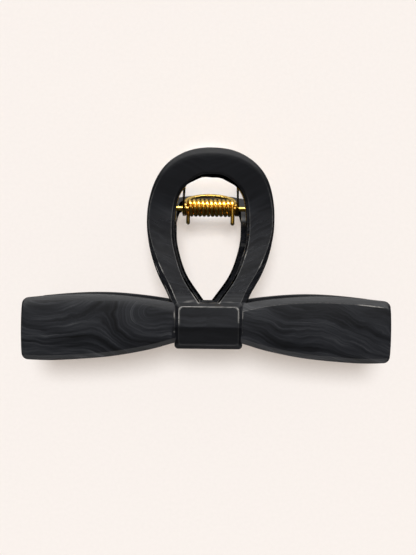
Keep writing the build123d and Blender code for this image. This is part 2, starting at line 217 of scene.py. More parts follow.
def rounded(points, radii, steps=4, support=0.12):
    """Closed outline (n, 3) with each corner rounded; a zero radius keeps the
    point. Sides get support points beside their rounded corners."""
    points = np.asarray(points, float)
    n = len(points)
    corner = []
    for i in range(n):
        p, r = points[i], radii[i]
        if r <= 0:
            corner.append(([p], p, p))
            continue
        a, b = points[i - 1] - p, points[(i + 1) % n] - p
        la, lb = np.linalg.norm(a), np.linalg.norm(b)
        a, b = a / la, b / lb
        half = 0.5 * math.acos(max(-1.0, min(1.0, float(a @ b))))
        t = min(r / math.tan(half), 0.45 * la, 0.45 * lb)
        start, end = p + a * t, p + b * t
        arc = []
        for k in range(steps + 1):
            s = k / steps
            arc.append((1 - s) ** 2 * start + 2 * s * (1 - s) * p + s**2 * end)
        corner.append((arc, start, end))
    out = []
    for i in range(n):
        out.extend(corner[i][0])
        j = (i + 1) % n
        a, b = corner[i][2], corner[j][1]
        side = max(1e-6, float(np.linalg.norm(b - a)))
        near = min(support, 0.3 * side) / side
        if radii[i] > 0 and radii[j] > 0:
            out.extend(a + (b - a) * s for s in (near, 0.5, 1 - near))
        elif radii[i] > 0:
            out.append(a + (b - a) * near)
        elif radii[j] > 0:
            out.append(a + (b - a) * (1 - near))
    return np.array(out)


def mesh_object(name, verts, faces):
    mesh = bpy.data.meshes.new(name)
    mesh.from_pydata([tuple(v) for v in verts], [], faces)
    mesh.validate()
    mesh.update()
    made = bpy.data.objects.new(name, mesh)
    bpy.context.scene.collection.objects.link(made)
    return made


def loft(name, sections, closed=False, caps=True):
    """Skin over sections (m, n, 3), each a closed ring of n points."""
    sections = np.asarray(sections, float)
    m, n = sections.shape[:2]
    verts = [row_point(p) for s in sections for p in s]
    faces = []
    for i in range(m if closed else m - 1):
        a, b = i * n, ((i + 1) % m) * n
        for j in range(n):
            k = (j + 1) % n
            faces.append((a + j, a + k, b + k, b + j))
    if caps and not closed:
        faces.append(tuple(reversed(range(n))))
        faces.append(tuple((m - 1) * n + j for j in range(n)))
    made = mesh_object(name, verts, faces)
    outward(made)
    return made


def outward(obj):
    bm = bmesh.new()
    bm.from_mesh(obj.data)
    bmesh.ops.recalc_face_normals(bm, faces=bm.faces)
    if bm.calc_volume(signed=True) < 0:
        bmesh.ops.reverse_faces(bm, faces=bm.faces)
    bm.to_mesh(obj.data)
    bm.free()


def union(name, objects):
    """One closed mesh from several closed ones."""
    base = objects[0]
    for other in objects[1:]:
        cut = base.modifiers.new("join", "BOOLEAN")
        cut.operation, cut.solver, cut.object = "UNION", "EXACT", other
        bpy.context.view_layer.update()
        graph = bpy.context.evaluated_depsgraph_get()
        mesh = bpy.data.meshes.new_from_object(base.evaluated_get(graph))
        base.modifiers.clear()
        old = base.data
        base.data = mesh
        bpy.data.meshes.remove(old)
        bpy.data.objects.remove(other)
    base.name = base.data.name = name
    return base


def tidy(obj, angle=32.0):
    bm = bmesh.new()
    bm.from_mesh(obj.data)
    bmesh.ops.remove_doubles(bm, verts=bm.verts, dist=2e-6)
    bmesh.ops.dissolve_degenerate(bm, dist=1e-6, edges=bm.edges)
    big = [f for f in bm.faces if len(f.verts) > 4]
    bmesh.ops.triangulate(bm, faces=big, quad_method="BEAUTY", ngon_method="BEAUTY")
    bmesh.ops.recalc_face_normals(bm, faces=bm.faces)
    if bm.calc_volume(signed=True) < 0:
        bmesh.ops.reverse_faces(bm, faces=bm.faces)
    loose = [e for e in bm.edges if len(e.link_faces) != 2]
    print(obj.name, "faces", len(bm.faces), "open or branching edges", len(loose))
    bm.to_mesh(obj.data)
    bm.free()
    obj.data.polygons.foreach_set("use_smooth", [True] * len(obj.data.polygons))
    obj.data.set_sharp_from_angle(angle=math.radians(angle))
    obj.data.update()
    return obj


# ------------------------------------------------------------ side profiles
def front_profile(v):
    if v > -6.5:
        a = math.radians(HANDLE_FLARE)
        point = (v, HANDLE_Z0 + v * math.tan(a))
        if v < -2.0:
            share = (v + 6.5) / 4.5
            point = (v, share * (HANDLE_Z0 - 2 * math.tan(a)) + (1 - share) * ARM_PROFILE[0][1])
            a = a * share + (1 - share) * math.radians(-14)
        return point, (math.cos(a), math.sin(a)), (-math.sin(a), math.cos(a))
    z = between(ARM_PROFILE, v)
    a = math.atan2(between(ARM_PROFILE, v + 1) - between(ARM_PROFILE, v - 1), 2.0)
    return (v, z), (math.cos(a), math.sin(a)), (-math.sin(a), math.cos(a))


ARM_ANGLE = math.atan2(ARM_PROFILE[2][1] - ARM_PROFILE[3][1], 20.0)
ARM_POINT = (
    -12.0 + LOOP_T * math.sin(ARM_ANGLE),
    ARM_PROFILE[2][1] - LOOP_T * math.cos(ARM_ANGLE),
)


def back_bend():
    a, b = ARM_ANGLE, math.radians(BACK_ANGLE)
    da, db = (math.cos(a), math.sin(a)), (math.cos(b), math.sin(b))
    na, nb = (-math.sin(a), math.cos(a)), (-math.sin(b), math.cos(b))
    r = BACK_BEND_R
    ey = BACK_TIP[0] + r * nb[0] - ARM_POINT[0] - r * na[0]
    ez = BACK_TIP[1] + r * nb[1] - ARM_POINT[1] - r * na[1]
    det = da[0] * db[1] - da[1] * db[0]
    s = (ey * db[1] - ez * db[0]) / det
    u = (da[0] * ez - da[1] * ey) / det
    start = (ARM_POINT[0] + s * da[0], ARM_POINT[1] + s * da[1])
    centre = (start[0] + r * na[0], start[1] + r * na[1])
    return start, centre, u


BEND_START, BEND_CENTRE, BACK_STRAIGHT = back_bend()
BEND_TURN = math.radians(BACK_ANGLE) - ARM_ANGLE
BACK_LENGTH = BACK_BEND_R * BEND_TURN + BACK_STRAIGHT
BACK_SCALE = BACK_LENGTH / (LOOP[0][1] - BEND_START[0])
FRONT_SCALE = 1.0 / math.cos(math.radians(HANDLE_FLARE))


def back_inner(v):
    if v <= BEND_START[0]:
        a = ARM_ANGLE
        along = (v - BEND_START[0]) / math.cos(a)
        point = (BEND_START[0] + along * math.cos(a), BEND_START[1] + along * math.sin(a))
    else:
        u = (v - BEND_START[0]) * BACK_SCALE
        arc = BACK_BEND_R * BEND_TURN
        a = ARM_ANGLE + min(u, arc) / BACK_BEND_R
        n = (-math.sin(a), math.cos(a))
        point = (BEND_CENTRE[0] - BACK_BEND_R * n[0], BEND_CENTRE[1] - BACK_BEND_R * n[1])
        over = max(0.0, u - arc)
        point = (point[0] + over * math.cos(a), point[1] + over * math.sin(a))
    return point, (math.cos(a), math.sin(a)), (-math.sin(a), math.cos(a))


def back_profile(v):
    point, d, n = back_inner(v)
    return (point[0] + LOOP_T * n[0], point[1] + LOOP_T * n[1]), d, n


# ------------------------------------------------------------------ the loop
def loop_section(row, side, profile, scale, lean):
    ox, oy, hx, hy, face_in, depth, draft = row
    mid = (oy + hy) / 2
    (py, pz), d, n = profile(mid)

    def place(x, v, deep):
        along = (v - mid) * (scale if mid > BEND_START[0] else 1.0 / d[0])
        over = between(LOOP_LEAN, v) if lean else 0.0
        return (side * x + over, py + along * d[0] - deep * n[0], pz + along * d[1] - deep * n[1])

    width = math.hypot(ox - hx, oy - hy)
    if lean:
        draft += between(LOOP_CORNER[side], hx) if hy > 3.5 else 0.0

    def at(share, deep):
        return place(hx + share * (ox - hx), hy + share * (oy - hy), deep)

    return [
        at(1.0, depth),
        at(1.0 - face_in / width, 0.0),
        at(IN_CHAMFER / width, 0.0),
        at(0.0, IN_CHAMFER),
        at(-draft / width, LOOP_T),
        at(1.0, LOOP_T),
    ]


# corners whose line shows as an edge from the front, drawn as a painted highlight line: which, how strongly, and up to
# what height
LOOP_HIGHLIGHT_LINES = ((0, 0.15, 20.0), (1, 0.80, 9.0), (2, 1.00, 5.0), (3, 0.95, 4.0))


def loop_tracks(profile, scale, lean, mirror_z, fine=7):
    table = LOOP if lean else [(*r[:2], *h, *r[4:6], 0.1) for r, h in zip(LOOP, BACK_HOLE)]
    rows = [(row, -1) for row in reversed(table[1:])] + [(row, 1) for row in table]
    stations = np.array([loop_section(row, side, profile, scale, lean) for row, side in rows])
    middle = stations[:, [0, 3]].mean(axis=1)
    at = np.concatenate([[0], np.cumsum(np.linalg.norm(np.diff(middle, axis=0), axis=1))])
    wanted = []
    for a, b in zip(at, at[1:]):
        wanted.extend(a + (b - a) * k / fine for k in range(fine))
    wanted.append(at[-1])
    tracks = smooth_rows(at, stations, wanted)
    if mirror_z:
        tracks[:, :, 2] *= -1
    return tracks


def loop_mesh(name, tracks):
    radii = (0.30, 0.16, 0.16, 0.16, 0.20, 0.45)
    sections = []
    for track in tracks:
        crest = min(1.0, max(0.0, (track[0][1] - 8.0) / 7.0))
        sections.append(rounded(track, (radii[0], radii[1] + 2.8 * crest, *radii[2:]), steps=4))
    return loft(name, sections)


# ------------------------------------------------------------------ the tail
def face_z(y, crown):
    return crown - TAIL_FACE_R + math.sqrt(TAIL_FACE_R**2 - (y - TAIL_RIDGE_Y) ** 2)


def arc_through(a, b, c, steps):
    """Points on the circle through three points of one x, ends included."""
    (y1, z1), (y2, z2), (y3, z3) = a, b, c
    d = 2 * (y1 * (z2 - z3) + y2 * (z3 - z1) + y3 * (z1 - z2))
    s1, s2, s3 = y1**2 + z1**2, y2**2 + z2**2, y3**2 + z3**2
    cy = (s1 * (z2 - z3) + s2 * (z3 - z1) + s3 * (z1 - z2)) / d
    cz = (s1 * (y3 - y2) + s2 * (y1 - y3) + s3 * (y2 - y1)) / d
    r = math.hypot(y1 - cy, z1 - cz)
    t1 = math.atan2(z1 - cz, y1 - cy)
    t2 = math.atan2(z2 - cz, y2 - cy)
    t3 = math.atan2(z3 - cz, y3 - cy)
    if (t2 - t1) * (t3 - t2) < 0:
        t1, t3 = [(t + 2 * math.pi) % (2 * math.pi) for t in (t1, t3)]
    return [
        (cy + r * math.cos(t1 + (t3 - t1) * k / steps), cz + r * math.sin(t1 + (t3 - t1) * k / steps))
        for k in range(steps + 1)
    ]


def tail_outline(x, top, low, crown, widen, soft=True):
    """Ring of (y, z) corners and the radii to round them by."""
    t_y, t_z = TAIL_TOP_CH[0] + widen, TAIL_TOP_CH[1] + 0.35 * widen
    l_y, l_z = TAIL_LOW_CH
    b = (top - t_y, face_z(top - t_y, crown))
    a = (top, b[1] - t_z)
    e = (low + l_y, face_z(low + l_y, crown))
    f = (low, e[1] - l_z)
    inner = crown - TAIL_T
    g, i = (low, inner - 1.3), (top, inner - 1.1)
    face = arc_through(b, (TAIL_RIDGE_Y, crown), e, 18)
    under = arc_through(g, (TAIL_RIDGE_Y, inner), i, 12)
    # the crease between chamfer and face is a curve, long or short
    start = [q + (r - q) * (0.62 if soft else 0.18) for q, r in zip(b, a)]
    end = [q + (r - q) * 0.8 for q, r in zip(face[1], face[2])] if soft else [q + (r - q) * 0.4 for q, r in zip(b, face[1])]
    crease = [
        tuple((1 - s) ** 2 * q + 2 * s * (1 - s) * m + s**2 * r for q, m, r in zip(start, b, end))
        for s in np.linspace(0.0, 1.0, 7)
    ]
    face = crease + face[2:]
    ring = [a] + face + [f] + under
    radii = [0.45] + [0] * (len(face) - 1) + [0.18, 0.45, 0.7] + [0] * (len(under) - 2) + [0.7]
    return [(x, y, z) for y, z in ring], radii


def tail_mesh(name, side, mirror_z):
    xs = [row[0] for row in TAIL]
    stations, radii = [], None
    for row in TAIL:
        widen = 0.5 * max(0.0, min(1.0, (18.0 - row[0]) / 8.0))
        ring, radii = tail_outline(*row, widen, side < 0)
        stations.append(ring)
    wanted = list(np.linspace(xs[0], 51.1, 88))
    tracks = smooth_rows(xs, stations, wanted)
    sections = [rounded(s, radii, steps=4) for s in tracks]
    # the end: corners of 1.9 mm in the outline, 0.6 mm over the edge
    last = smooth_rows(xs, stations, [52.3])[0]
    for k in range(1, 15):
        t = 0.5 * math.pi * k / 14
        x = 51.1 + (TAIL_END_X - 51.1) * math.sin(t)
        ring = smooth_rows(xs, stations, [min(x, 52.6)])[0]
        ring[:, 0] = x
        cut_y = 1.9 * (1 - math.cos(t))
        over = max(0.0, (x - (TAIL_END_X - 0.6)) / 0.6)
        cut_z = 0.6 * (1 - math.sqrt(max(0.0, 1 - over**2)))
        mid_y = TAIL_RIDGE_Y
        top, low = ring[:, 1].max(), ring[:, 1].min()
        share = np.where(ring[:, 1] > mid_y, (ring[:, 1] - mid_y) / (top - mid_y), (mid_y - ring[:, 1]) / (mid_y - low))
        ring[:, 1] -= np.sign(ring[:, 1] - mid_y) * cut_y * share
        z_high, z_low = ring[:, 2].max(), ring[:, 2].min()
        mid_z = (z_high + z_low) / 2
        ring[:, 2] -= np.sign(ring[:, 2] - mid_z) * cut_z
        sections.append(rounded(ring, radii, steps=4))
    sections = np.array(sections)
    sections[:, :, 0] *= side * TAIL_REACH[side] / TAIL_END_X
    if mirror_z:
        sections[:, :, 2] *= -1
    return loft(name, sections)


# ------------------------------------------------------------------ the knot
def knot_z(y):
    """Height of the knot's front over y, its crease slightly rounded."""
    up = 24.0 - (y - KNOT_RIDGE_Y) * (24.0 - 22.85) / (-29.4 - KNOT_RIDGE_Y)
    down = 24.0 - (KNOT_RIDGE_Y - y) * (24.0 - 22.35) / (KNOT_RIDGE_Y + 39.75)
    k = 0.12
    d = up - down
    return min(up, down) - 0.25 * k * max(0.0, 1 - abs(d) / k) ** 2


def knot_ring(inset, corner, per_corner=8, per_side=(22, 14)):
    """Rounded rectangle in X and Y, the same number of points at any inset."""
    w = KNOT_HALF_W - inset
    top, low = KNOT_TOP_Y - inset, KNOT_LOW_Y + inset
    r = max(0.02, min(corner, w - 0.01, (top - low) / 2 - 0.01))
    out = []
    centres = [(w - r, top - r, 0), (-w + r, top - r, 90), (-w + r, low + r, 180), (w - r, low + r, 270)]
    for i, (cx, cy, start) in enumerate(centres):
        for k in range(per_corner + 1):
            t = math.radians(start + 90 * k / per_corner)
            out.append((cx + r * math.cos(t), cy + r * math.sin(t)))
        nx, ny, nstart = centres[(i + 1) % 4]
        t0, t1 = math.radians(start + 90), math.radians(nstart)
        a = np.array([cx + r * math.cos(t0), cy + r * math.sin(t0)])
        b = np.array([nx + r * math.cos(t1), ny + r * math.sin(t1)])
        steps = per_side[i % 2]
        out.extend(tuple(a + (b - a) * s / steps) for s in range(1, steps))
    return out


def knot_mesh(name, mirror_z):
    # (inset, drop below the front's height), from the inner edge up and over
    chamfer = KNOT_SIDE_CH
    levels = [(0.35, None), (0.1, 0.35), (0.0, 0.9)]
    steps = [
        (0.0, chamfer + 0.42), (0.0, chamfer + 0.16), (0.035, chamfer + 0.01), (0.12, chamfer - 0.12),
        (0.45, 0.75), (0.80, 0.40), (chamfer - 0.14, 0.12), (chamfer - 0.02, 0.03), (chamfer + 0.14, 0.0),
        (chamfer + 0.45, 0.0), (2.4, 0.0), (3.3, 0.0), (4.2, 0.0), (5.1, 0.0), (6.0, 0.0), (6.45, 0.0),
    ]
    sections = []
    for inset, rise in levels:
        ring = knot_ring(inset, 1.1 - 0.5 * inset)
        z = KNOT_INNER_Z + (rise or 0.0)
        sections.append([(x, y, z) for x, y in ring])
    for inset, drop in steps:
        ring = knot_ring(inset, 1.1 - 0.35 * min(inset, chamfer) if inset < 2 else 0.4)
        sections.append([(x, y, knot_z(y) - drop) for x, y in ring])
    sections = np.array(sections)
    if mirror_z:
        sections[:, :, 2] *= -1
    return loft(name, sections)


# ----------------------------------------------------------------- the teeth
def bezier_like(a, b, c, z):
    """y at height z on the smooth line through three (y, z) points."""
    ys = np.polyfit([a[1], b[1], c[1]], [a[0], b[0], c[0]], 2)
    return float(np.polyval(ys, z))


def tooth_mesh(name, x, mirror_z):
    low = between([(r[0], r[2]) for r in TAIL], max(abs(x), 12.0))
    root = between([(r[0], r[3]) for r in TAIL], abs(x)) - TAIL_T + 0.6
    tip = TOOTH_TIP_Z
    under = ((low + 1.3, root), (low + 1.9, root * 0.45), (low + 4.6, tip + 0.5))
    over = ((low + 9.6, root), (low + 6.6, root * 0.5), (low + 5.6, tip + 0.5))
    sections = []
    heights = list(np.linspace(root, tip + 1.4, 26)) + [tip + 1.0, tip + 0.7, tip + 0.45, tip + 0.22, tip + 0.06, tip]
    for z in heights:
        y0 = bezier_like(*under, max(z, tip + 0.5))
        y1 = bezier_like(*over, max(z, tip + 0.5))
        half = 1.6 - 0.75 * ((root - z) / (root - tip)) ** 1.6
        end = max(0.0, (tip + 1.4 - z) / 1.4)
        shrink = math.sqrt(max(0.0, 1 - end**2)) * 0.92 + 0.08
        mid, half_y, half_x = (y0 + y1) / 2, (y1 - y0) / 2 * shrink, half * shrink
        ring = []
        for k in range(28):
            t = 2 * math.pi * k / 28
            c, s = math.cos(t), math.sin(t)
            ring.append(
                (
                    x + half_x * math.copysign(abs(c) ** 0.62, c),
                    mid + half_y * math.copysign(abs(s) ** 0.62, s),
                    z,
                )
            )
        sections.append(ring)
    sections = np.array(sections)
    if mirror_z:
        sections[:, :, 2] *= -1
    return loft(name, sections)


# --------------------------------------------------------- lines and points
# Painted highlights, white glints on the moulding's edges: place of the middle (x, y), half length along the edge, and
# how bright.
FRONT_PAINTED_GLINTS = [
    (-14.3, -18.4, 1.5, 0.75), (-11.1, -25.4, 2.4, 0.6), (14.9, -16.6, 1.3, 0.75),
    (10.6, -14.2, 1.0, 0.8), (-16.6, -7.3, 0.35, 0.9), (1.6, 14.6, 0.4, 1.0),
    (-3.0, 14.5, 0.3, 0.5), (4.2, 14.3, 0.35, 0.6), (46.5, -28.9, 3.2, 0.95),
    (-4.6, -29.4, 3.6, 1.0), (2.0, -29.4, 2.0, 0.85), (6.4, -29.5, 1.3, 0.75),
    (-8.5, -30.2, 1.2, 0.9), (-8.5, -32.4, 1.7, 1.0), (8.5, -30.2, 0.9, 0.8), (8.5, -31.9, 1.6, 1.0),
]


def painted_highlight_attributes(obj, lines, glint_spots):
    """Per-vertex numbers for painted highlights: edge_highlight, a light line painted near a moulded edge; glint, a
    white glint painted on such an edge.

    lines holds (points, strengths) pairs."""
    points = np.concatenate([line for line, _ in lines])
    strengths = np.concatenate([strength for _, strength in lines])
    tree = kdtree.KDTree(len(points))
    for i, p in enumerate(points):
        tree.insert(Vector(row_point(p)), i)
    tree.balance()
    edge_highlight, glint = [], []
    for v in obj.data.vertices:
        found, index, far = tree.find(v.co)
        near = max(0.0, 1.0 - far / 0.00016)
        edge_highlight.append(near * strengths[index])
        value = 0.0
        if near > 0.0:
            px, py, pz = points[index]
            for x, y, half, bright in glint_spots:
                d = math.hypot(px - x, py - y)
                if d < half * 1.25:
                    value = max(value, bright * min(1.0, (half * 1.25 - d) / (half * 0.5)))
        glint.append(value * min(1.0, near * 2.2))
    for name, values in (("edge_highlight", edge_highlight), ("glint", glint)):
        made = obj.data.attributes.new(name, "FLOAT", "POINT")
        made.data.foreach_set("value", np.array(values, np.float32))


def build_half(name, profile, scale, teeth_at, mirror_z, glint_spots):
    tracks = loop_tracks(profile, scale, not mirror_z, mirror_z)
    parts = [
        knot_mesh("knot", mirror_z),
        tail_mesh("tail_l", -1, mirror_z),
        tail_mesh("tail_r", 1, mirror_z),
        loop_mesh("loop", tracks),
    ] + [tooth_mesh("tooth", x, mirror_z) for x in teeth_at]
    made = tidy(union(name, parts))
    flip = -1.0 if mirror_z else 1.0
    # painted highlights: light lines along the loop's, tails' and knot's edges, brightest on the right tail's top
    # crease and the knot's rim
    lines = []
    for i, strength, high in LOOP_HIGHLIGHT_LINES:
        line = tracks[:, i]
        lines.append((line, strength * np.clip((high - line[:, 1]) / 7.0, 0.0, 1.0)))
    fine = np.linspace(10.0, 52.0, 300)
    xs = [row[0] for row in TAIL]
    stations = []
    for row in TAIL:
        widen = 0.5 * max(0.0, min(1.0, (18.0 - row[0]) / 8.0))
        ring, _ = tail_outline(*row, widen, False)
        stations.append([ring[0], ring[4], ring[24], ring[25]])
    edges = smooth_rows(xs, stations, fine)
    for i in range(4):
        for side in (-1, 1):
            line = edges[:, i].copy()
            line[:, 0] *= side * TAIL_REACH[side] / TAIL_END_X
            line[:, 2] *= flip
            root = np.clip((22.0 - np.abs(line[:, 0])) / 9.0, 0.0, 1.0)
            strength = (0.12, 0.55 if side > 0 else 0.06, 0.12, 0.15)[i]
            lines.append((line, strength + 0.3 * root * (i == 1)))
    # the knot's rim carries the brightest painted highlight, on its upper half, which faces the light
    for inset, drop, strength in ((0.02, KNOT_SIDE_CH, 1.3), (KNOT_SIDE_CH, 0.03, 2.1)):
        ring = np.array([(x, y, flip * (knot_z(y) - drop)) for x, y in knot_ring(inset, 1.1, 8, (120, 80))])
        fade = np.where(ring[:, 1] < -39.0, 0.35, 1.0)
        if inset > 0.5:  # the rim's line ends half way down
            fade = 0.12 + 0.88 * np.clip((ring[:, 1] + 34.2) / 1.2, 0.0, 1.0)
        lines.append((ring, strength * fade))
    painted_highlight_attributes(made, lines, glint_spots)
    return made


n_front = [TOOTH_PITCH * (k + 0.5) for k in range(4)]
n_back = [TOOTH_PITCH * k for k in range(1, 5)]
front_bow = build_half(
    "front_bow", front_profile, FRONT_SCALE, [-x for x in reversed(n_front)] + n_front, False, FRONT_PAINTED_GLINTS
)
back_bow = build_half(
    "back_bow", back_profile, BACK_SCALE, [-x for x in reversed(n_back)] + [0.0] + n_back, True, []
)


# ----------------------------------------------------------------- the hinge
def plate_base(kind):
    if kind == "front":
        a = math.radians(HANDLE_FLARE)
        d, n = (math.cos(a), math.sin(a)), (-math.sin(a), math.cos(a))
        deep = LOOP_T + PLATE_GAP + SHEET

        def place(x, v, lift):
            return (x + HINGE_X, -(deep - lift) * n[0] + v * d[0], HANDLE_Z0 - (deep - lift) * n[1] + v * d[1])

        return place
    a = math.radians(BACK_ANGLE)
    d, n = (math.cos(a), math.sin(a)), (-math.sin(a), math.cos(a))
    deep = PLATE_GAP + SHEET
    tip_v = LOOP[0][1]

    def place(x, v, lift):
        back = (tip_v - v) * BACK_SCALE
        y = BACK_TIP[0] - back * d[0] - (deep - lift) * n[0]
        z = BACK_TIP[1] - back * d[1] - (deep - lift) * n[1]
        return (x + HINGE_X, y, -z)

    return place


def arch_mesh(name, rows, place):
    signed = [(-r[0], r[1], -r[2], r[3]) for r in reversed(rows[1:])] + [tuple(r) for r in rows]
    signed = np.array(signed, float)
    middle = (signed[:, :2] + signed[:, 2:]) / 2
    at = np.concatenate([[0], np.cumsum(np.linalg.norm(np.diff(middle, axis=0), axis=1))])
    fine = smooth_rows(at, signed, np.linspace(0, at[-1], 140))
    sections = []
    for ix, iv, ox, ov in fine:
        ring = [place(ix, iv, 0.0), place(ox, ov, 0.0), place(ox, ov, SHEET), place(ix, iv, SHEET)]
        sections.append(rounded(ring, (0.1, 0.1, 0.1, 0.1), steps=3, support=0.08))
    return loft(name, sections)


def hull_radius(points, angle):
    """Distance from the origin to the edge of the hull of points, one way."""
    far = 0.0
    u = (math.cos(angle), math.sin(angle))
    lo, hi = 0.0, 40.0
    for _ in range(40):
        mid = (lo + hi) / 2
        if inside_hull(points, (u[0] * mid, u[1] * mid)):
            lo = mid
        else:
            hi = mid
    return lo


def hull_of(points):
    pts = sorted(set((round(a, 5), round(b, 5)) for a, b in points))

    def turn(o, a, b):
        return (a[0] - o[0]) * (b[1] - o[1]) - (a[1] - o[1]) * (b[0] - o[0])

    lower, upper = [], []
    for p in pts:
        while len(lower) > 1 and turn(lower[-2], lower[-1], p) <= 0:
            lower.pop()
        lower.append(p)
    for p in reversed(pts):
        while len(upper) > 1 and turn(upper[-2], upper[-1], p) <= 0:
            upper.pop()
        upper.append(p)
    return lower[:-1] + upper[:-1]


def inside_hull(hull, p):
    for a, b in zip(hull, hull[1:] + hull[:1]):
        if (b[0] - a[0]) * (p[1] - a[1]) - (b[1] - a[1]) * (p[0] - a[0]) < -1e-9:
            return False
    return True


def ear_mesh(name, root, x_of, side, flip, bore):
    """A sheet ear in the YZ plane: hull of its root and a round end, bored.
    root: two (y, z) points; x_of: inner face's x at a height z."""
    ring = [(EAR_R * math.cos(t), EAR_R * math.sin(t)) for t in np.linspace(0, 2 * math.pi, 64, endpoint=False)]
    hull = hull_of(list(root) + ring)
    b = 0.08
    sections = []
    count = 120
    for k in range(count):
        t = 2 * math.pi * k / count
        out = hull_radius(hull, t)
        section = []
        for r, deep in (
            (bore, b), (bore + b, 0.0), ((bore + out) / 2, 0.0), (out - b, 0.0), (out - 0.3 * b, 0.3 * b), (out, b),
            (out, SHEET - b), (out - 0.3 * b, SHEET - 0.3 * b), (out - b, SHEET), ((bore + out) / 2, SHEET),
            (bore + b, SHEET), (bore, SHEET - b),
        ):
            y, z = r * math.cos(t), r * math.sin(t)
            section.append((side * (x_of(z) + deep) + HINGE_X, y, flip * z))
        sections.append(section)
    return loft(name, sections, closed=True)


def front_ear_x(z):
    top = 9.3
    if z <= 3.4:
        return FRONT_EAR_X
    return FRONT_EAR_X - EAR_SLANT * (z - 3.4) / (top - 3.4)


def build_plate(kind, rows, bore):
    place = plate_base(kind)
    flip = 1.0 if kind == "front" else -1.0
    parts = [arch_mesh("arch", rows, place)]
    spans = (5.2, 8.2) if kind == "front" else (-0.1, 5.6)
    root = []
    for v in spans:
        _, y, z = place(0.0, v, 0.25)
        root.append((y, flip * z))
    x_of = front_ear_x if kind == "front" else (lambda z: BACK_EAR_X)
    for side in (-1, 1):
        parts.append(ear_mesh("ear", root, x_of, side, flip, bore))
    return tidy(union(kind + "_arch", parts), 38.0)


front_arch = build_plate("front", FRONT_PLATE, PIN_R + 0.05)
back_arch = build_plate("back", BACK_PLATE, PIN_R + 0.02)


def pin_mesh():
    profile = [(PIN_HALF, 0.001), (PIN_HALF, 0.3), (PIN_HALF - 0.05, 0.5), (PIN_HALF - 0.16, 0.66), (PIN_HALF - 0.32, PIN_R)]
    xs = [(-x, r) for x, r in profile]
    body = [(-PIN_HALF + 1.0, PIN_R), (-8.0, PIN_R), (0.0, PIN_R), (8.0, PIN_R), (PIN_HALF - 1.0, PIN_R)]
    line = xs + body + list(reversed(profile))
    sections = [
        [(x + HINGE_X, r * math.cos(t), r * math.sin(t)) for t in np.linspace(0, 2 * math.pi, 40, endpoint=False)]
        for x, r in line
    ]
    return tidy(loft("pin_rod", sections), 40.0)


pin_rod = pin_mesh()

COIL_MEAN, WIRE_R, COIL_END_X, COIL_UP = 2.14, 0.60, 6.72, 0.30
TURNS = 10.5


def spring_path():
    """Left end at the back of the coil, right end at its front."""
    points = []
    left_tip, right_tip = np.array([-6.84, -4.15, -2.31]), np.array([6.66, -4.50, 2.31])
    start = np.array([-COIL_END_X - 0.12, COIL_UP, -COIL_MEAN])
    end = np.array([COIL_END_X, COIL_UP, COIL_MEAN])
    for k in range(14):
        points.append(left_tip + (start - left_tip) * k / 14)
    total = 2 * math.pi * TURNS
    steps = int(TURNS * 40)
    for k in range(steps + 1):
        t = total * k / steps
        x = -COIL_END_X + 2 * COIL_END_X * k / steps - 0.12 * max(0.0, 1 - t / math.pi)
        points.append(np.array([x, COIL_UP + COIL_MEAN * math.sin(t), -COIL_MEAN * math.cos(t)]))
    for k in range(1, 15):
        points.append(end + (right_tip - end) * k / 14)
    points = np.array(points)
    points[:, 0] += HINGE_X
    return points


def tube(name, path, radius, around=18, round_ends=True):
    tangents = np.gradient(path, axis=0)
    tangents /= np.linalg.norm(tangents, axis=1)[:, None]
    normal = np.cross(tangents[0], (1.0, 0.0, 0.0))
    normal /= np.linalg.norm(normal)
    sections = []

    def ring(centre, normal, tangent, r):
        other = np.cross(tangent, normal)
        return [
            centre + r * (math.cos(a) * normal + math.sin(a) * other)
            for a in np.linspace(0, 2 * math.pi, around, endpoint=False)
        ]

    dome = [(-1.0, 0.04), (-0.97, 0.25), (-0.87, 0.5), (-0.64, 0.77), (-0.34, 0.94)]
    if round_ends:
        for back, share in dome:
            sections.append(ring(path[0] + tangents[0] * radius * back, normal, tangents[0], radius * share))
    for p, t in zip(path, tangents):
        normal = normal - t * float(normal @ t)
        normal /= np.linalg.norm(normal)
        sections.append(ring(p, normal, t, radius))
    if round_ends:
        for back, share in reversed(dome):
            sections.append(ring(path[-1] - tangents[-1] * radius * back, normal, tangents[-1], radius * share))
    return loft(name, sections)


coil_spring = tidy(tube("coil_spring", spring_path(), WIRE_R), 50.0)


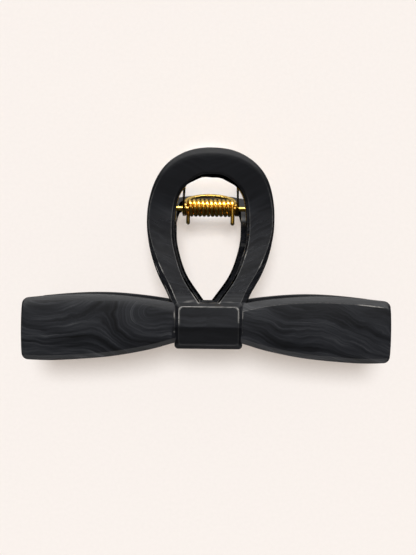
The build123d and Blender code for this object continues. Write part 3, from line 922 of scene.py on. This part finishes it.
# ----------------------------------------------------------------- materials
class Nodes:
    """Short names for building a node tree."""

    def __init__(self, tree):
        self.tree = tree

    def new(self, kind, **values):
        node = self.tree.nodes.new(kind)
        for key, value in values.items():
            setattr(node, key, value)
        return node

    def put(self, node, socket, value):
        if isinstance(value, bpy.types.NodeSocket):
            self.tree.links.new(value, node.inputs[socket])
        else:
            node.inputs[socket].default_value = value

    def math(self, operation, a, b=0.0, c=0.0, clamp=False):
        node = self.new("ShaderNodeMath", operation=operation, use_clamp=clamp)
        self.put(node, 0, a)
        self.put(node, 1, b)
        if operation in ("MULTIPLY_ADD", "SMOOTH_MIN", "SMOOTH_MAX"):
            self.put(node, 2, c)
        return node.outputs[0]

    def add(self, a, b):
        return self.math("ADD", a, b)

    def sub(self, a, b):
        return self.math("SUBTRACT", a, b)

    def mul(self, a, b):
        return self.math("MULTIPLY", a, b)

    def vector(self, x, y, z):
        node = self.new("ShaderNodeCombineXYZ")
        for i, v in enumerate((x, y, z)):
            self.put(node, i, v)
        return node.outputs[0]

    def noise(self, vector, scale=1.0, detail=2.0, rough=0.5, distortion=0.0):
        node = self.new("ShaderNodeTexNoise", noise_dimensions="3D")
        self.put(node, "Vector", vector)
        self.put(node, "Scale", scale)
        self.put(node, "Detail", detail)
        self.put(node, "Roughness", rough)
        self.put(node, "Distortion", distortion)
        return node.outputs["Fac"]

    def curve(self, value, points, low, high):
        """value over a chart of (at, height) points, as a smooth line."""
        node = self.new("ShaderNodeFloatCurve")
        line = node.mapping.curves[0]
        xs = [p[0] for p in points]
        span = xs[-1] - xs[0]
        scaled = [((x - xs[0]) / span, (y - low) / (high - low)) for x, y in points]
        line.points[0].location, line.points[1].location = scaled[0], scaled[-1]
        for p in scaled[1:-1]:
            line.points.new(*p)
        node.mapping.update()
        at = self.math("DIVIDE", self.sub(value, xs[0]), span, clamp=True)
        self.put(node, "Value", at)
        return self.add(self.mul(node.outputs[0], high - low), low)

    def ramp(self, value, stops, mode="LINEAR"):
        node = self.new("ShaderNodeValToRGB")
        node.color_ramp.interpolation = mode
        elements = node.color_ramp.elements
        while len(elements) > 1:
            elements.remove(elements[-1])
        elements[0].position, elements[0].color = stops[0][0], (*stops[0][1], 1)
        for at, colour in stops[1:]:
            made = elements.new(at)
            made.color = (*colour, 1)
        self.put(node, "Fac", value)
        return node.outputs["Color"]

    def mix(self, share, a, b):
        node = self.new("ShaderNodeMix", data_type="RGBA")
        self.put(node, 0, share)
        for socket, value in ((6, a), (7, b)):
            if isinstance(value, tuple):
                value = (*value, 1)
            self.put(node, socket, value)
        return node.outputs[2]

    def blend(self, share, a, b):
        """a at share 0, b at share 1, as numbers."""
        return self.add(self.mul(a, self.sub(1.0, share)), self.mul(b, share))

    def attribute(self, name):
        node = self.new("ShaderNodeAttribute", attribute_name=name, attribute_type="GEOMETRY")
        return node.outputs["Fac"]


def new_material(name):
    made = bpy.data.materials.new(name)
    made.use_nodes = True
    tree = made.node_tree
    tree.nodes.clear()
    output = tree.nodes.new("ShaderNodeOutputMaterial")
    shader = tree.nodes.new("ShaderNodeBsdfPrincipled")
    tree.links.new(shader.outputs[0], output.inputs[0])
    return made, Nodes(tree), shader


def marbled_plastic(name, mirrored, shaded_wall=False):
    """shaded_wall: for the walls inside the loops, which are seen edge-on and stay dull; their colour is painted nearly
    black as shade.
    """
    made, n, shader = new_material(name)
    place = n.new("ShaderNodeTexCoord").outputs["Object"]
    split = n.new("ShaderNodeSeparateXYZ")
    n.tree.links.new(place, split.inputs[0])
    x = n.mul(split.outputs[0], 1000.0)
    if mirrored:
        x = n.mul(x, -1.0)
    y = n.sub(n.mul(split.outputs[1], 1000.0), float(PIN[1]))
    z = n.sub(n.mul(split.outputs[2], 1000.0), float(PIN[2]))
    if mirrored:
        z = n.mul(z, -1.0)
    deep = n.sub(22.5, z)
    # streaks lean as they go into the material, so that the walls show them too
    yd = n.sub(y, n.mul(deep, 0.35))

    wide = n.noise(n.vector(n.mul(x, 0.075), n.mul(y, 0.075), n.mul(z, 0.06)), 1.0, 2.0, 0.5)
    small = n.noise(n.vector(n.mul(x, 0.30), n.mul(y, 0.34), n.mul(z, 0.2)), 1.0, 3.0, 0.55)

    def distance(cx, cy, kx, one_sided):
        dx = n.sub(cx, x) if one_sided else n.sub(x, cx)
        if one_sided:
            dx = n.math("MAXIMUM", dx, 0.0)
        dx, dy = n.mul(dx, kx), n.sub(yd, cy)
        return n.math("SQRT", n.add(n.mul(dx, dx), n.mul(dy, dy)))

    # left tail: lines turn round a knot near the middle and under a second one
    swirl = n.add(distance(-16.4, -30.6, 0.85, True), 3.6)
    bowl = distance(-45.0, -21.6, 0.72, False)
    left = n.math("SMOOTH_MIN", swirl, bowl, 9.0)
    # right tail: lines run out and fall away towards the end
    fall = n.curve(
        x, [(9.0, 0.0), (15.0, 0.9), (20.5, 3.6), (26.0, 5.2), (33.0, 5.6), (39.0, 7.4), (46.0, 10.2), (54.0, 13.4)], 0.0, 14.0
    )
    depth_share = n.math("MULTIPLY_ADD", n.math("DIVIDE", n.sub(-27.0, y), 15.0, clamp=True), 0.55, 0.45)
    right = n.sub(n.mul(yd, -1.0), n.mul(fall, depth_share))
    right_side = n.math("GREATER_THAN", x, 0.0)
    tails = n.blend(right_side, left, right)
    # arms and handle: lines cross them, bending with the loop
    arms = n.add(n.mul(yd, 0.9), n.mul(n.math("ABSOLUTE", x), -0.35))
    up = n.math("MULTIPLY_ADD", n.math("DIVIDE", n.add(y, 28.0), 3.0, clamp=True), 1.0, 0.0)
    flow = n.blend(up, tails, arms)
    flow = n.add(flow, n.mul(n.sub(wide, 0.5), 4.8))
    flow = n.add(flow, n.mul(n.sub(small, 0.5), 1.0))

    along = n.mul(x, 0.05)
    broad = n.noise(n.vector(n.mul(flow, 0.30), n.mul(along, 0.6), n.mul(z, 0.03)), 1.0, 2.0, 0.5)
    fine = n.noise(n.vector(n.mul(flow, 1.15), along, n.mul(z, 0.05)), 1.0, 5.0, 0.62)
    hair = n.noise(n.vector(n.mul(flow, 4.2), n.mul(x, 0.12), n.mul(z, 0.1)), 1.0, 3.0, 0.6)
    value = n.add(n.mul(broad, 0.42), n.add(n.mul(fine, 0.50), n.mul(hair, 0.22)))
    value = n.math("MULTIPLY_ADD", n.sub(value, 0.565), 3.4, 0.5, clamp=True)
    # the handle is plainer and darker than the tails, and so is the knot
    plain = n.mul(n.math("DIVIDE", n.add(y, 2.0), 10.0, clamp=True), 0.62)
    value = n.blend(plain, value, 0.20)
    value = n.blend(n.mul(up, 0.42), value, 0.24)
    on_knot = n.mul(
        n.math("LESS_THAN", n.math("ABSOLUTE", x), 9.9),
        n.mul(n.math("LESS_THAN", y, -28.1), n.math("GREATER_THAN", z, 21.0)),
    )
    value = n.blend(n.mul(on_knot, 0.5), value, 0.42)
    # painted shade: its lower slope, which faces down away from the light, is darker, down to the chamfer under it
    shaded_slope = n.mul(n.math("LESS_THAN", y, -35.2), n.math("GREATER_THAN", y, -39.9))
    value = n.mul(value, n.sub(1.0, n.mul(n.mul(on_knot, shaded_slope), 0.5)))
    colour = n.ramp(
        value,
        [
            (0.0, (0.0016, 0.0018, 0.0026)),
            (0.30, (0.0100, 0.0110, 0.0145)),
            (0.60, (0.0260, 0.0280, 0.0345)),
            (0.82, (0.0500, 0.0530, 0.0610)),
            (1.0, (0.0980, 0.1010, 0.1080)),
        ],
    )
    # painted shade: the walls inside the loops are darkened nearly to black
    if shaded_wall:
        colour = n.mix(0.96, colour, (0.0006, 0.0008, 0.0011))
    # painted highlights: light lines along the moulded edges and white glints on them, mixed into the colour
    edge_highlight, glint = n.attribute("edge_highlight"), n.attribute("glint")
    broken = n.noise(n.vector(n.mul(x, 1.3), n.mul(y, 1.3), n.mul(z, 1.3)), 1.0, 3.0, 0.6)
    faint_highlight = n.mul(edge_highlight, n.math("MULTIPLY_ADD", broken, 2.2, -0.45, clamp=True))
    colour = n.mix(faint_highlight, colour, (0.27, 0.27, 0.26))
    glint_share = n.mul(glint, n.math("MULTIPLY_ADD", broken, 4.0, -0.7, clamp=True))
    colour = n.mix(glint_share, colour, (0.72, 0.70, 0.66))
    n.tree.links.new(colour, shader.inputs["Base Color"])
    rough = n.math("MULTIPLY_ADD", value, 0.10, 0.36)
    rough = n.add(rough, n.mul(n.sub(small, 0.5), 0.12))
    # the arms are a little shinier than the rest
    arm = n.mul(up, n.sub(1.0, n.math("DIVIDE", n.add(y, 5.0), 5.0, clamp=True)))
    rough = n.sub(rough, n.mul(arm, 0.15))
    n.tree.links.new(rough, shader.inputs["Roughness"])
    shader.inputs["IOR"].default_value = 1.47
    shader.inputs["Specular IOR Level"].default_value = 0.0 if shaded_wall else 0.9
    bump = n.new("ShaderNodeBump")
    n.put(bump, "Strength", 0.25)
    n.put(bump, "Distance", 0.00006)
    uneven = n.add(n.mul(fine, 0.5), n.mul(n.noise(n.vector(x, y, z), 0.9, 2.0, 0.5), 1.2))
    n.put(bump, "Height", uneven)
    n.tree.links.new(bump.outputs[0], shader.inputs["Normal"])
    return made


def gold_metal(name, rough_low, drawn, depth=1.0):
    """Plated metal. drawn: fine lines along the wire or sheet."""
    made, n, shader = new_material(name)
    place = n.new("ShaderNodeTexCoord").outputs["Object"]
    split = n.new("ShaderNodeSeparateXYZ")
    n.tree.links.new(place, split.inputs[0])
    x, y, z = (n.mul(split.outputs[i], 1000.0) for i in range(3))
    cloud = n.noise(n.vector(x, y, z), 0.8, 3.0, 0.55)
    grain = n.noise(n.vector(n.mul(x, drawn[0]), n.mul(y, drawn[1]), n.mul(z, drawn[2])), 1.0, 3.0, 0.6)
    colour = n.ramp(
        n.math("MULTIPLY_ADD", cloud, 0.7, n.mul(grain, 0.3)),
        [(0.25, (0.72, 0.43, 0.07)), (0.5, (0.88, 0.58, 0.13)), (0.8, (0.97, 0.72, 0.24))],
    )
    # painted shade: a depth below 1 darkens the gold nearly to black, for the ears, which sit in shade
    if depth < 1.0:
        colour = n.mix(depth, (0.012, 0.008, 0.003), colour)
    n.tree.links.new(colour, shader.inputs["Base Color"])
    shader.inputs["Metallic"].default_value = 1.0
    n.tree.links.new(n.math("MULTIPLY_ADD", grain, 0.16, rough_low), shader.inputs["Roughness"])
    bump = n.new("ShaderNodeBump")
    n.put(bump, "Strength", 0.3)
    n.put(bump, "Distance", 0.00003)
    n.put(bump, "Height", grain)
    n.tree.links.new(bump.outputs[0], shader.inputs["Normal"])
    return made


front_plastic = marbled_plastic("marbled_plastic_front", False)
back_plastic = marbled_plastic("marbled_plastic_back", True)
wire_gold = gold_metal("gold_wire", 0.16, (3.0, 3.0, 3.0))
sheet_gold = gold_metal("gold_sheet", 0.20, (1.0, 6.0, 1.0))
# the ears' gold is darkened as painted shade
shaded_ear_gold = gold_metal("gold_ears", 0.24, (1.0, 6.0, 1.0), 0.16)

# the walls' materials carry painted shade
front_wall = marbled_plastic("marbled_plastic_front_wall", False, True)
back_wall = marbled_plastic("marbled_plastic_back_wall", True, True)


def shade_walls(obj, material):
    """Gives the walls that look into the loop's hole their own material, darkened nearly to black as painted shade."""
    obj.data.materials.append(material)
    for face in obj.data.polygons:
        x, y, _ = np.array(face.center) * 1000.0 - PIN
        if abs(face.normal.z) > 0.55 or abs(x - 0.3) > 12.0 or not -31.0 < y < 13.0:
            continue
        to_middle = np.array([0.4 - x, max(-24.0, min(2.0, y)) - y])
        if face.normal.x * to_middle[0] + face.normal.y * to_middle[1] > 0.3 * np.linalg.norm(to_middle):
            face.material_index = 1


for piece, material, slot in (
    (front_bow, front_plastic, "marbled_plastic"),
    (back_bow, back_plastic, "marbled_plastic"),
    (front_arch, sheet_gold, "gold_metal"),
    (back_arch, sheet_gold, "gold_metal"),
    (pin_rod, wire_gold, "gold_metal"),
    (coil_spring, wire_gold, "gold_metal"),
):
    piece.data.materials.clear()
    piece.data.materials.append(material)


def shade_ears(obj):
    """The ears' rims and outer faces, but not their inner edge, take the gold darkened as painted shade."""
    obj.data.materials.append(shaded_ear_gold)
    for face in obj.data.polygons:
        x, y, z = np.array(face.center) * 1000.0 - PIN
        side = 1.0 if x > HINGE_X else -1.0
        off = side * (x - HINGE_X)
        if 7.0 < off < 8.7 and -2.5 < y < 6.2 and abs(z) < 8.0 and side * face.normal.x > -0.25:
            face.material_index = 1


shade_ears(front_arch)
shade_ears(back_arch)
shade_walls(front_bow, front_wall)
shade_walls(back_bow, back_wall)

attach(front_bow, "front")
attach(front_arch, "front")
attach(back_bow, "back")
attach(back_arch, "back")
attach(pin_rod, "back")
tuple(row_point((-6.0, 0, 0)))
tuple(row_point((6.8, 0, 0)))
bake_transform(coil_spring)
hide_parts("front_half")
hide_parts("back_half")
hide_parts("front_hinge_plate")
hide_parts("back_hinge_plate")
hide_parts("hinge_pin")
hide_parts("spring")

# ---------------------------------------------------------- floor and lights
floor = mesh_object("floor", [(-3, -3, 0), (3, -3, 0), (3, 3, 0), (-3, 3, 0)], [(0, 1, 2, 3)])
floor_material, n, shader = new_material("pale_floor")
place = n.new("ShaderNodeTexCoord").outputs["Object"]
speckle = n.noise(place, 900.0, 2.0, 0.5)
n.tree.links.new(
    n.ramp(speckle, [(0.3, (0.882, 0.826, 0.786)), (0.7, (0.898, 0.841, 0.801))]), shader.inputs["Base Color"]
)
shader.inputs["Roughness"].default_value = 0.9
shader.inputs["Specular IOR Level"].default_value = 0.1
floor.data.materials.append(floor_material)


def aim(obj, toward):
    obj.rotation_euler = Vector(toward).to_track_quat("-Z", "Y").to_euler()


def sun(name, elevation_from_top, left, strength, angle, colour=(1, 1, 1)):
    data = bpy.data.lights.new(name, "SUN")
    data.energy, data.angle, data.color = strength, math.radians(angle), colour
    made = bpy.data.objects.new(name, data)
    bpy.context.scene.collection.objects.link(made)
    a, b = math.radians(elevation_from_top), math.radians(left)
    aim(made, (math.sin(b), -math.sin(a) * math.cos(b), -math.cos(a) * math.cos(b)))
    return made


def panel(name, place, target, size, power, colour=(1, 1, 1)):
    data = bpy.data.lights.new(name, "AREA")
    data.shape, data.size, data.size_y = "RECTANGLE", size[0], size[1]
    data.energy, data.color = power, colour
    made = bpy.data.objects.new(name, data)
    made.location = place
    aim(made, Vector(target) - Vector(place))
    bpy.context.scene.collection.objects.link(made)
    return made


def only_for(light, name, pieces):
    """Lets a light fall on these pieces alone."""
    group = bpy.data.collections.new(name)
    for piece in pieces:
        group.objects.link(piece)
    light.light_linking.receiver_collection = group


floor.visible_glossy = False
plastic = [front_bow, back_bow]
gold = [front_arch, back_arch, pin_rod, coil_spring]
key = sun("key_light", 8.5, 1.0, 1.42, 12.0, (1.0, 0.99, 0.98))
key.visible_glossy = False
only_for(key, "lit_by_key", plastic + gold)
floor_key = sun("floor_key", 8.5, 1.0, 1.76, 12.0, (0.90, 0.95, 1.0))
floor_key.visible_glossy = False
only_for(floor_key, "lit_by_floor_key", [floor])
fill = sun("floor_light", 0.0, 0.0, 1.53, 10.0, (1.0, 0.935, 0.875))
fill.data.use_shadow = False
fill.visible_glossy = False
only_for(fill, "lit_by_floor_light", [floor])

# the floor seen through the upper end of the loop is in nobody's shadow
data = bpy.data.lights.new("loop_light", "SPOT")
data.color = (0.80, 0.90, 1.0)
data.energy, data.spot_size, data.spot_blend, data.shadow_soft_size = 1.72, math.radians(6.2), 1.0, 0.0
data.use_shadow = False
loop_light = bpy.data.objects.new("loop_light", data)
bpy.context.scene.collection.objects.link(loop_light)
loop_light.location = Vector(row_point((0.2, 8.8, 276.0)))
aim(loop_light, (0, 0, -1))
loop_light.visible_glossy = False
only_for(loop_light, "lit_by_loop_light", [floor])

# what the gloss shows: panels over the handles and under the teeth for the
# plastic, a brighter one for the gold
top_glow = panel("top_glow", (0.0, 0.68, 0.43), (0, 0, 0.024), (1.5, 0.24), 2.8, (1.0, 0.99, 0.98))
low_glow = panel("low_glow", (0.0, -0.77, 0.24), (0, 0, 0.024), (1.5, 0.34), 1.1, (1.0, 0.98, 0.95))
for light in (top_glow, low_glow):
    light.visible_diffuse = False
only_for(top_glow, "lit_by_top_glow", plastic)
only_for(low_glow, "lit_by_low_glow", plastic)
gold_strip = panel("gold_strip", (0.0, 0.70, 0.41), (0, 0, 0.024), (1.6, 0.30), 38.0, (1.0, 0.98, 0.95))
gold_soft = panel("gold_soft", (0.0, 0.34, 0.72), (0, 0, 0.024), (1.4, 0.34), 2.4, (1.0, 0.76, 0.38))
gold_soft.visible_diffuse = False
only_for(gold_soft, "lit_by_gold_soft", gold)
gold_strip.visible_diffuse = False
only_for(gold_strip, "lit_by_gold_strip", gold)

world = bpy.data.worlds.new("studio")
bpy.context.scene.world = world
world.use_nodes = True
n = Nodes(world.node_tree)
world.node_tree.nodes.clear()
out = n.new("ShaderNodeOutputWorld")
way = n.new("ShaderNodeTexCoord").outputs["Generated"]
split = n.new("ShaderNodeSeparateXYZ")
n.tree.links.new(way, split.inputs[0])
# what the gloss shows: a soft light beyond the handles, darkness over the teeth,
# pale surroundings low down and dark ones at the sides and below
toward = n.mul(n.math("ARCTAN2", split.outputs[1], split.outputs[2]), 180.0 / math.pi)
reflected = n.curve(
    toward,
    [
        (-180.0, 0.005), (-135.0, 0.01), (-100.0, 0.03), (-60.0, 0.03), (-43.0, 0.03),
        (-30.0, 0.04), (-15.0, 0.08), (0.0, 0.12), (20.0, 0.165), (40.0, 0.17), (58.0, 0.27),
        (75.0, 0.45), (92.0, 0.50), (112.0, 0.50), (128.0, 0.50), (145.0, 0.25), (160.0, 0.03), (180.0, 0.005),
    ],
    0.0, 0.7,
)
aside = n.math("ABSOLUTE", split.outputs[0])
reflected = n.mul(reflected, n.math("MULTIPLY_ADD", n.math("DIVIDE", n.sub(aside, 0.45), 0.4, clamp=True), -0.88, 1.0))
rays = n.new("ShaderNodeLightPath")
shade = n.blend(rays.outputs["Is Glossy Ray"], 0.10, reflected)
shade = n.blend(rays.outputs["Is Camera Ray"], shade, 0.86)
sky = n.new("ShaderNodeBackground")
sky.inputs["Color"].default_value = (1.0, 0.985, 0.965, 1.0)
n.tree.links.new(shade, sky.inputs["Strength"])
n.tree.links.new(sky.outputs[0], out.inputs[0])

scene = bpy.context.scene
scene.view_settings.view_transform = "Standard"
scene.view_settings.look = "None"
scene.view_settings.exposure = 0.0
scene.view_settings.gamma = 1.0
